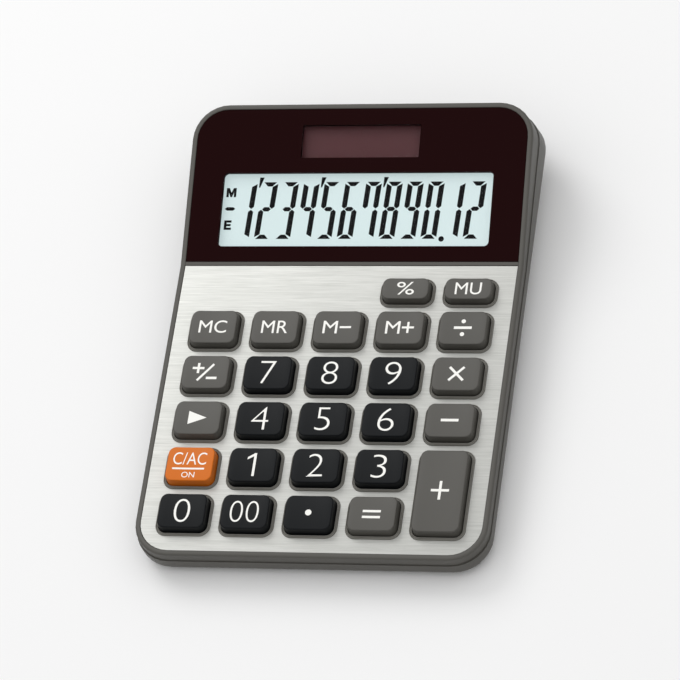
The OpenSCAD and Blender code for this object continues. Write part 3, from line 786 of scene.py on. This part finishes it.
def words(bm, text, x0, x1, y0, y1, weight=0.0):
    """Printed letters that fill the box. A weight below zero makes them thinner."""
    curve = bpy.data.curves.new("lettering", "FONT")
    curve.body = text
    curve.resolution_u = CURVE_STEPS
    curve.offset = weight
    holder = bpy.data.objects.new("lettering", curve)
    bpy.context.scene.collection.objects.link(holder)
    mesh = bpy.data.meshes.new_from_object(holder.evaluated_get(bpy.context.evaluated_depsgraph_get()))
    old_verts, old_faces = set(bm.verts), set(bm.faces)
    bm.from_mesh(mesh)
    bmesh.ops.remove_doubles(bm, verts=[v for v in bm.verts if v not in old_verts], dist=SAME_POINT)
    verts = [v for v in bm.verts if v not in old_verts]
    low = [min(v.co[i] for v in verts) for i in (0, 1)]
    high = [max(v.co[i] for v in verts) for i in (0, 1)]
    for v in verts:
        v.co.x = x0 + (v.co.x - low[0]) / (high[0] - low[0]) * (x1 - x0)
        v.co.y = y0 + (v.co.y - low[1]) / (high[1] - low[1]) * (y1 - y0)
        v.co.z = 0
    pull(bm, [f for f in bm.faces if f not in old_faces], (0, 0, INK_T))
    bpy.data.objects.remove(holder)
    bpy.data.curves.remove(curve)
    bpy.data.meshes.remove(mesh)


# %% [markdown]
# A little wedge after the first, fourth and seventh digit groups the number in threes, and a
# round point stands near the foot before the last two. Three small marks stand at the left.
# They are drawn as plain outlines, since they are too small for lettering to stay clear.

# %% The number on the display
SHOWN = "123456789012"
DIGIT_PITCH = 6.49
FIRST_DIGIT = -34.95
GROUPED_AT = (0, 3, 6)
GROUP_WEDGE = [(2.9, 28.7), (4.3, 28.7), (3.4, 25.5), (3.0, 25.5)]
POINT_AT = 9
POINT_GAP = 3.3
POINT_HALF = 0.85
POINT_Y = (8.3, 10.0)
POINT_R = 0.84
MINUS_MARK = [
    (-41.6, 18.75), (-40.9, 19.3), (-39.0, 19.3), (-38.3, 18.75), (-39.0, 18.2), (-40.9, 18.2),
]
MEMORY_MARK = [
    (-41.5, 22.5), (-41.5, 25.4), (-40.6, 25.4), (-39.95, 23.9), (-39.3, 25.4), (-38.4, 25.4),
    (-38.4, 22.5), (-39.15, 22.5), (-39.15, 24.0), (-39.7, 22.5), (-40.2, 22.5), (-40.75, 24.0),
    (-40.75, 22.5),
]
ERROR_MARK = [
    (-41.4, 12.1), (-41.4, 15.1), (-39.1, 15.1), (-39.1, 14.4), (-40.6, 14.4), (-40.6, 13.95),
    (-39.3, 13.95), (-39.3, 13.25), (-40.6, 13.25), (-40.6, 12.8), (-39.1, 12.8), (-39.1, 12.1),
]
INK_LIFT = 0.005
lcd_z = local_box("lcd_polariser", DISPLAY)[1].z + INK_LIFT
digits = bmesh.new()
for place, numeral in enumerate(SHOWN):
    middle = FIRST_DIGIT + place * DIGIT_PITCH
    shapes = [segment_points(letter) for letter in SEGMENTS[numeral]]
    if place in GROUPED_AT:
        shapes.append(GROUP_WEDGE)
    for shape in shapes:
        ink(digits, [(middle + x, y) for x, y in shape], lcd_z, LEAN)
point_x = FIRST_DIGIT + POINT_AT * DIGIT_PITCH + POINT_GAP
sheet(digits, [outline(digits, POINT_HALF, *POINT_Y, POINT_R, POINT_R, lcd_z, x=point_x)], INK_T)
for mark in (MINUS_MARK, MEMORY_MARK, ERROR_MARK):
    ink(digits, mark, lcd_z)
piece("lcd_digits", digits, DISPLAY, "case", "lcd_film", LCD_INK)
print(len(SHOWN), "digits")

# %% [markdown]
# ## The keys
# A key cap has steep sides, a rounded top edge and a top that is hollowed a little across
# its width, so that a finger finds its middle. The cap is a stack of outlines bridged
# together. Cuts along its length then give the top the points that the hollow needs.

# %% A key cap
STROKE_ROOM = 1.6
KEY_FOOT = local_box("keypad_mat", KEYPAD)[1].z + STROKE_ROOM
SKIRT_TOP = 0.2
KEY_TAPER = 0.2
KEY_ROUND = 0.36
ROUND_STEPS = 5
CORNER_SHARE = 0.4
DISH = 0.2
DISH_START = 1.0
CUT_EVERY = 1.2


def dish(x, half):
    """How far the hollow lies below the key's top, at x from its middle."""
    return DISH * (1 - (x / half) ** 2)


def slice_across(bm, key):
    """Cuts a key's cap or legend lengthwise, so that it can follow the hollow."""
    steps = int(2 * key["half"] / CUT_EVERY)
    for i in range(1, steps):
        x = key["x"] - key["half"] + 2 * key["half"] * i / steps
        bmesh.ops.bisect_plane(bm, geom=bm.verts[:] + bm.edges[:] + bm.faces[:], dist=SAME_POINT,
                               plane_co=(x, 0, 0), plane_no=(1, 0, 0))


def key_cap(name, key, body, slot, finish):
    bm = bmesh.new()
    top = key["top"]
    profile = [(0.0, KEY_FOOT), (0.0, SKIRT_TOP), (KEY_TAPER, top - KEY_ROUND)]
    for step in range(1, ROUND_STEPS + 1):
        turn = math.radians(90 * step / ROUND_STEPS)
        inset = KEY_TAPER + KEY_ROUND * (1 - math.cos(turn))
        profile.append((inset, top - KEY_ROUND * (1 - math.sin(turn))))
    loops = [key_outline(bm, key, -inset, z, KEY_R - CORNER_SHARE * inset) for inset, z in profile]
    skin(bm, loops, ends=True)
    slice_across(bm, key)
    for v in bm.verts:
        share = max(0.0, min(1.0, (v.co.z - DISH_START) / (top - DISH_START)))
        v.co.z -= share * dish(v.co.x - key["x"], key["half"])
    return piece(name + "_cap", bm, KEYPAD, body, slot, finish, [name])


print("key foot at", round(KEY_FOOT, 2))

# %% [markdown]
# ## The legends
# Each legend is a list of marks about the key's middle: strokes with square ends, round
# dots, a filled triangle and fitted lettering. They are thin printed shapes that lie in the
# hollow of the cap.

# %% Marks
LEGEND_SINK = 0.01
ROUND = 0.99


def dot(bm, x, y, radius):
    """A round dot: a square outline whose corner radius is nearly half its width."""
    ring = outline(bm, radius, y - radius, y + radius, radius * ROUND, radius * ROUND, x=x)
    sheet(bm, [ring], INK_T)


def cross(bm, x, y, wide, tall, width, turn=0.0):
    """A plus sign of one twelve-cornered patch, turned by an angle in degrees."""
    w, a, b = width / 2, wide / 2, tall / 2
    corners = [(w, w), (w, b), (-w, b), (-w, w), (-a, w), (-a, -w), (-w, -w), (-w, -b), (w, -b),
               (w, -w), (a, -w), (a, w)]
    spin = Matrix.Rotation(math.radians(turn), 2)
    ink(bm, [tuple(spin @ Vector(c) + Vector((x, y))) for c in corners], 0)


print("print is", INK_T, "mm thick")

# %% [markdown]
# The numerals are lettering of one height, each with its own width. The one is drawn as a
# stem with a short flag. The letters on the grey keys are about 4.2 mm high.

# %% Every key's legend
NUMERAL_TALL = 3.75
NUMERAL_HALF = {"0": 2.45, "2": 2.35, "3": 2.2, "4": 2.6, "5": 2.25, "6": 2.45, "7": 2.35, "8": 2.4,
                "9": 2.45}
NUMERAL_WEIGHT = -0.02
NUMERAL_ONE = [(0.9, -3.75), (0.9, 3.75), (0.3, 3.75), (-1.75, 2.4), (-1.75, 1.65), (0.15, 2.75),
               (0.15, -3.75)]
LEGENDS = {
    "key_percent": lambda b: words(b, "%", -2.7, 2.7, -2.1, 2.2),
    "key_mu": lambda b: words(b, "MU", -4.0, 4.0, -2.0, 2.0),
    "key_mc": lambda b: words(b, "MC", -4.4, 4.2, -2.1, 2.1),
    "key_mr": lambda b: words(b, "MR", -4.1, 4.0, -2.1, 2.1),
    "key_m_minus": lambda b: (words(b, "M", -4.3, 0.1, -2.1, 2.1), stroke(b, 0.8, 0, 4.3, 0, 0.66)),
    "key_m_plus": lambda b: (words(b, "M", -4.3, 0.1, -2.1, 2.1), cross(b, 2.5, 0, 3.7, 3.7, 0.66)),
    "key_divide": lambda b: (stroke(b, -2.7, 0, 2.7, 0, 0.85), dot(b, 0, 2.15, 0.66),
                             dot(b, 0, -2.15, 0.66)),
    "key_sign": lambda b: (cross(b, -2.35, 1.25, 3.6, 3.4, 0.75), stroke(b, -2.3, -2.9, 2.3, 2.6, 0.7),
                           stroke(b, 0.4, -2.05, 3.7, -2.05, 0.8)),
    "key_times": lambda b: cross(b, 0, 0, 6.2, 6.2, 0.76, 45),
    "key_backspace": lambda b: ink(b, [(-2.9, 2.15), (-2.9, -2.2), (2.7, 0)], 0),
    "key_minus": lambda b: stroke(b, -2.7, 0, 2.6, 0, 0.85),
    "key_clear": lambda b: (words(b, "C/AC", -5.3, 4.9, -0.3, 3.7, -0.004),
                            stroke(b, -5.2, -1.6, 4.6, -1.6, 0.55), words(b, "ON", -2.1, 1.9, -4.5, -2.7)),
    "key_plus": lambda b: cross(b, 0, 0.15, 5.4, 6.0, 0.78),
    "key_00": lambda b: words(b, "00", -4.5, 4.2, -3.45, 3.4, NUMERAL_WEIGHT),
    "key_1": lambda b: ink(b, NUMERAL_ONE, 0),
    "key_point": lambda b: dot(b, 0, 0, 0.95),
    "key_equals": lambda b: (stroke(b, -2.9, 0.75, 2.5, 0.75, 0.75),
                             stroke(b, -2.9, -1.15, 2.5, -1.15, 0.75)),
}


def draw_legend(bm, name):
    """Draws a key's legend about the origin, from its own marks or as a plain numeral."""
    if name in LEGENDS:
        LEGENDS[name](bm)
    else:
        numeral = name.removeprefix("key_")
        half = NUMERAL_HALF[numeral]
        words(bm, numeral, -half, half, -NUMERAL_TALL, NUMERAL_TALL, NUMERAL_WEIGHT)


def legend(name, key, body, slot):
    bm = bmesh.new()
    draw_legend(bm, name)
    bmesh.ops.translate(bm, verts=bm.verts, vec=(key["x"], key["y"], 0))
    slice_across(bm, key)
    for v in bm.verts:
        v.co.z += key["top"] - dish(v.co.x - key["x"], key["half"]) - LEGEND_SINK
    return piece(name + "_legend", bm, KEYPAD, body, slot, INK_WHITE)


print(len(LEGENDS), "legends of their own and", len(NUMERAL_HALF), "plain numerals")

# %% [markdown]
# A key rides on its own body, which the frame names, and the slot in the record says which of
# the three shades it has.

# %% Making every key
SHADES = {"key_grey": KEY_GREY, "key_black": KEY_BLACK, "key_orange": KEY_ORANGE}
slot_of = {s["node"]: s["material_slot"] for s in frame["record"]["subparts"]}
body_of = {n: body for body, nodes in frame["record"]["behaviour"]["bodies"].items() for n in nodes}
for name, key in key_boxes.items():
    slot = slot_of[name]
    key_cap(name, key, body_of[name], slot, SHADES[slot])
    legend(name, key, body_of[name], slot)
print("keys made:", len(key_boxes))

# %% [markdown]
# ## The lower case
# It stands 0.3 mm proud of the upper one. Its walls drop straight from the seam and turn
# under in a soft quarter round. The rear wall leans with the display. Under the display a
# block holds the cell and props the case up; it is joined to the shell with a boolean, and
# the recesses for screws, feet and the battery cover are cut the same way.

# %% The shell of the lower case
SLAB_T = 9.8
EDGE_R = 3.2
SKIN_T = 1.7
EDGE_STEPS = 6


def rear_at(z, grow):
    """The rear wall leans out downwards, as far as where its lower edge starts to round."""
    return REAR / math.cos(TILT) - max(z, EDGE_R - SLAB_T) * math.tan(TILT) + grow


def low_loop(bm, grow, z):
    """An outline of the lower case at one height, or along the seam where z is None."""
    rise = math.tan(SEAM_RISE)
    if z is None:
        rear = (REAR / math.cos(TILT) + SEAM_DROP * math.tan(TILT) + grow) / (1 + rise * math.tan(TILT))
    else:
        rear = rear_at(z, grow)
    edges = outline(bm, HALF_W + grow, FRONT - grow, rear, CORNER_R + grow, CORNER_R + grow, crease=True)
    for v in {v for e in edges for v in e.verts}:
        v.co.z = z if z is not None else -SEAM_DROP + max(0.0, v.co.y) * rise
    return edges


def lower_shell():
    """The open tray from its flat bottom outwards, over the seam and down inside, in mm."""
    bm = bmesh.new()
    inner_edge = EDGE_R - SKIN_T / 2
    loops = [low_loop(bm, -EDGE_R, -SLAB_T)]
    for step in range(1, EDGE_STEPS + 1):
        turn = math.radians(90 * step / EDGE_STEPS)
        loops.append(low_loop(bm, -EDGE_R * (1 - math.sin(turn)), -SLAB_T + EDGE_R * (1 - math.cos(turn))))
    loops += [low_loop(bm, 0.0, None), low_loop(bm, -SKIN_T, None)]
    loops += [low_loop(bm, -SKIN_T, -SLAB_T + SKIN_T + inner_edge)]
    loops += [low_loop(bm, -SKIN_T - inner_edge, -SLAB_T + SKIN_T)]
    skin(bm, loops, ends=True)
    bmesh.ops.transform(bm, matrix=KEYPAD, verts=bm.verts)
    bmesh.ops.scale(bm, vec=(1 / MM,) * 3, verts=bm.verts)
    bmesh.ops.recalc_face_normals(bm, faces=bm.faces)
    return bm


print("slab", SLAB_T, "mm deep, rear wall at", round(rear_at(0, 0), 2))

# %% [markdown]
# The block is wider and longer at the top, where it meets the shell, than at its foot. Its
# lowest edge is rounded by two short steps.

# %% The rear block
BLOCK_HALF, BLOCK_FLARE = 42.0, 2.0
BLOCK_FRONT, BLOCK_SLOPE = 14.0, 8.0
BLOCK_REAR, BLOCK_REAR_FLARE = 66.5, 3.0
BLOCK_LOW, BLOCK_TOP = 1.0, 9.5
BLOCK_CORNER_R = 2.0
BLOCK_ROUND = 0.8


def rear_block():
    """A tapered block, standing on its small side, in desk coordinates."""
    bm = bmesh.new()
    rise = BLOCK_TOP - BLOCK_LOW
    loops = []
    for inset, up in [(BLOCK_ROUND, 0.0), (0.25, 0.25), (0.0, BLOCK_ROUND), (0.0, rise)]:
        share = up / rise
        half = BLOCK_HALF + BLOCK_FLARE * share - inset
        front = BLOCK_FRONT + BLOCK_SLOPE * (1 - share) + inset
        rear = BLOCK_REAR + BLOCK_REAR_FLARE * share - inset
        loops.append(outline(bm, half, front, rear, BLOCK_CORNER_R, BLOCK_CORNER_R, BLOCK_LOW + up))
    skin(bm, loops, ends=True)
    bmesh.ops.recalc_face_normals(bm, faces=bm.faces)
    return bm


print("rear block", 2 * (BLOCK_HALF + BLOCK_FLARE), "mm wide at the top")

# %% [markdown]
# The cutters are plain closed shapes: round bores for the screws and feet in one mesh, then
# the cover's stepped slot as two boxes and the well for the cell. Shapes that overlap are cut
# one after the other, because an exact boolean wants each cutter to be a clean solid.

# %% Cutters for the underside
SCREW_SPOTS = [(x, y) for x in (-48.2, 48.2) for y in (-84.0, -30.3, 40.0)]
SCREW_SEAT = 8.2
SCREW_WELL_R = 2.1
FRONT_FEET = [(-42.0, -86.0), (42.0, -86.0)]
REAR_FEET = [(-34.0, 58.0), (34.0, 58.0)]
FRONT_FOOT_R = 4.0
REAR_FOOT_R = 5.0
FOOT_INSET = 0.6
BELOW = 4.0
BORE_SEGMENTS = 48
COVER_PLAY = 0.12
COVER_LIP = 1.0
COVER_RAIL = 0.7
WELL_PLAY = 0.35
WELL_OVERLAP = 0.3
WELL_ROOM = 0.7
OVERSHOOT = 6.0
CUT_STAGGER = 0.01
cell_low, cell_high = (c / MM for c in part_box("button_cell"))
cover_low, cover_high = (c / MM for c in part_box("battery_cover"))


def bore(bm, x, y, radius, low, high, place=None):
    """A round cutter between two heights, turned into another frame if one is given."""
    made = bmesh.ops.create_cone(bm, cap_ends=True, segments=BORE_SEGMENTS, radius1=radius, radius2=radius,
                                 depth=high - low)
    bmesh.ops.translate(bm, verts=made["verts"], vec=(x, y, (low + high) / 2))
    if place:
        bmesh.ops.transform(bm, matrix=place, verts=made["verts"])


def slot_box(half, y0, y1, z0, z1):
    """A box cutter about the middle of the case."""
    bm = bmesh.new()
    made = bmesh.ops.create_cube(bm, size=1)
    bmesh.ops.scale(bm, vec=(2 * half, y1 - y0, z1 - z0), verts=made["verts"])
    bmesh.ops.translate(bm, verts=made["verts"], vec=(0, (y0 + y1) / 2, (z0 + z1) / 2))
    return bm


def underside_cutters():
    """Bores for the screw heads and the four feet."""
    on_keypad = Matrix.Scale(1 / MM, 4) @ KEYPAD
    bm = bmesh.new()
    for x, y in SCREW_SPOTS:
        bore(bm, x, y, SCREW_WELL_R, -SLAB_T - BELOW, -SCREW_SEAT, on_keypad)
    for x, y in FRONT_FEET:
        bore(bm, x, y, FRONT_FOOT_R, -SLAB_T - BELOW, -SLAB_T + FOOT_INSET, on_keypad)
    for x, y in REAR_FEET:
        bore(bm, x, y, REAR_FOOT_R, -1, BLOCK_LOW + FOOT_INSET)
    return bm


def cover_cutters():
    """The cover's slot, the wider run of its rails and the cell's well, cut in turn."""
    start, end = cover_low.y - COVER_PLAY, BLOCK_REAR + OVERSHOOT
    top = cover_high.z + COVER_PLAY
    half = cover_high.x + COVER_PLAY
    rails = (cover_high.z - COVER_RAIL - COVER_PLAY, top - CUT_STAGGER)
    well = bmesh.new()
    middle = (cell_low + cell_high) / 2
    radius = middle.x - cell_low.x + WELL_PLAY
    bore(well, 0, middle.y, radius, cover_high.z - WELL_OVERLAP, cell_high.z + WELL_ROOM)
    return [slot_box(half - COVER_LIP, start, end, -1, top), slot_box(half, start, end, *rails), well]


print(len(SCREW_SPOTS), "screws,", len(FRONT_FEET + REAR_FEET), "feet")

# %% [markdown]
# A Boolean modifier is applied by reading the evaluated mesh. The exact solver leaves clean
# edges, and merging doubles afterwards closes what it split.

# %% Joining and cutting the lower case
MERGE = 1e-4


def as_object(name, bm):
    """An object that holds the bmesh as it is."""
    mesh = bpy.data.meshes.new(name)
    bm.to_mesh(mesh)
    bm.free()
    made = bpy.data.objects.new(name, mesh)
    bpy.context.scene.collection.objects.link(made)
    return made


def carve(base, tools):
    """Applies each (operation, object) boolean in turn and gives the result as a bmesh."""
    for operation, tool in tools:
        step = base.modifiers.new(operation, "BOOLEAN")
        step.operation = operation
        step.solver = "EXACT"
        step.object = tool
    depsgraph = bpy.context.evaluated_depsgraph_get()
    mesh = bpy.data.meshes.new_from_object(base.evaluated_get(depsgraph))
    bm = bmesh.new()
    bm.from_mesh(mesh)
    for spare in [base] + [tool for _, tool in tools]:
        bpy.data.objects.remove(spare)
    return bm


tools = [("UNION", as_object("rear_block_part", rear_block()))]
tools += [("DIFFERENCE", as_object("underside_cutters", underside_cutters()))]
tools += [("DIFFERENCE", as_object("cover_cutter", part)) for part in cover_cutters()]
lower = carve(as_object("lower_shell_part", lower_shell()), tools)
bmesh.ops.remove_doubles(lower, verts=lower.verts, dist=MERGE)
low_piece = piece("lower_case_shell", lower, DESK, "case", "case_plastic", CASE_GREY, ["lower_case"])
print("lower case:", len(low_piece.data.polygons), "faces")

# %% [markdown]
# ## The feet
# Four pads of black rubber, with a softened lower edge. The front pair is cut level with the
# desk although the floor above it slopes.

# %% Rubber feet
FOOT_PLAY = 0.05
FOOT_PROFILE = [(-0.35, 0.0), (-0.1, 0.1), (0.0, 0.35)]
FOOT_SUNK = 0.45
FOOT_ROUND = 0.999
feet = bmesh.new()
on_desk = Matrix.Scale(1 / MM, 4) @ KEYPAD
spots = [(on_desk @ Vector((x, y, -SLAB_T)), FRONT_FOOT_R - FOOT_PLAY) for x, y in FRONT_FEET]
spots += [(Vector((x, y, BLOCK_LOW)), REAR_FOOT_R - FOOT_PLAY) for x, y in REAR_FEET]
for spot, radius in spots:
    loops = []
    for grow, z in FOOT_PROFILE + [(0.0, spot.z + FOOT_SUNK)]:
        r = radius + grow
        loops.append(outline(feet, r, spot.y - r, spot.y + r, r * FOOT_ROUND, r * FOOT_ROUND, z, x=spot.x))
    skin(feet, loops, ends=True)
piece("rubber_foot_pads", feet, DESK, "case", "foot_rubber", RUBBER, ["rubber_feet"])
print(len(spots), "feet")

# %% [markdown]
# ## Stage, light and camera
# A pale floor, a plain surround and one large soft lamp up to the left and behind, so that
# the front and right sides of the keys fall into shade. The camera looks from the front
# right, high up, and is rolled so that the calculator leans.

# %% The floor
FLOOR_TONE = "#f3f3f3"
FLOOR_SIZE = 4.0
FLOOR_DROP = 0.0002
floor_mesh = bmesh.new()
bmesh.ops.create_grid(floor_mesh, x_segments=1, y_segments=1, size=FLOOR_SIZE)
floor = as_object("floor", floor_mesh)
floor.data.materials.append(plastic("floor_paper", FLOOR_TONE, 0.8, 0.9, tone=0.0, bump=0.0))
floor.location.z = CAD_BOX[0].z - FLOOR_DROP
floor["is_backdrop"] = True
print("floor at", round(floor.location.z / MM, 2), "mm")

# %% [markdown]
# The surround is bright overhead and dim at the horizon, which darkens the sides of the keys.
# The lamp is a disk, so its shadows have soft edges.

# %% The lights
HORIZON, ZENITH = 0.14, 1.25
LAMP_PLACE = (-0.7, 0.75, 0.95)
LAMP_SIZE = 0.8
LAMP_POWER = 4.8
world = bpy.data.worlds.new("surround")
bpy.context.scene.world = world
world.use_nodes = True
sky = world.node_tree
heights = sky.nodes.new("ShaderNodeSeparateXYZ")
sky.links.new(sky.nodes.new("ShaderNodeTexCoord").outputs["Generated"], heights.inputs[0])
sky.links.new(ramp(sky, heights.outputs["Z"], HORIZON, ZENITH), sky.nodes["Background"].inputs["Strength"])
sky.nodes["Background"].inputs["Color"].default_value = (1.0, 1.0, 1.0, 1)
middle = (CAD_BOX[0] + CAD_BOX[1]) / 2
light = bpy.data.lights.new("key_lamp", "AREA")
light.shape = "DISK"
light.size = LAMP_SIZE
light.energy = LAMP_POWER
lamp = bpy.data.objects.new("key_lamp", light)
bpy.context.scene.collection.objects.link(lamp)
lamp.location = LAMP_PLACE
lamp.rotation_euler = (middle - Vector(LAMP_PLACE)).to_track_quat("-Z", "Y").to_euler()
bpy.context.scene.view_settings.view_transform = "Standard"
print("lamp", round((middle - Vector(LAMP_PLACE)).length, 2), "m away")

# %% [markdown]
# The camera stands far off with a long lens, so the sides of the case stay nearly parallel.

# %% The camera
AIM = Vector((-0.00026, -0.00261, 0.012))
AZIMUTH, ELEVATION, ROLL = (math.radians(a) for a in (28.219, 54.857, -23.386))
DISTANCE = 1.33286
LENS = 237.96
back = Vector((math.sin(AZIMUTH) * math.cos(ELEVATION), -math.cos(AZIMUTH) * math.cos(ELEVATION),
               math.sin(ELEVATION)))
camera = bpy.data.objects.new("camera", bpy.data.cameras.new("camera"))
bpy.context.scene.collection.objects.link(camera)
camera.data.lens = LENS
camera.location = AIM + back * DISTANCE
turned = (-back).to_track_quat("-Z", "Y").to_matrix() @ Matrix.Rotation(ROLL, 3, "Z")
camera.rotation_euler = turned.to_euler()
bpy.context.scene.camera = camera
print("camera at", [round(v, 3) for v in camera.location])

# %% [markdown]
# The two boxes hold the CAD model's size and the visible model's; the visible one is printed.

# %% Sizes and the end
boxes = {"cad": [list(c) for c in CAD_BOX], "visual": [list(c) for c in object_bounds()]}
print("visual box in mm:", [round(v / MM, 2) for corner in boxes["visual"] for v in corner])
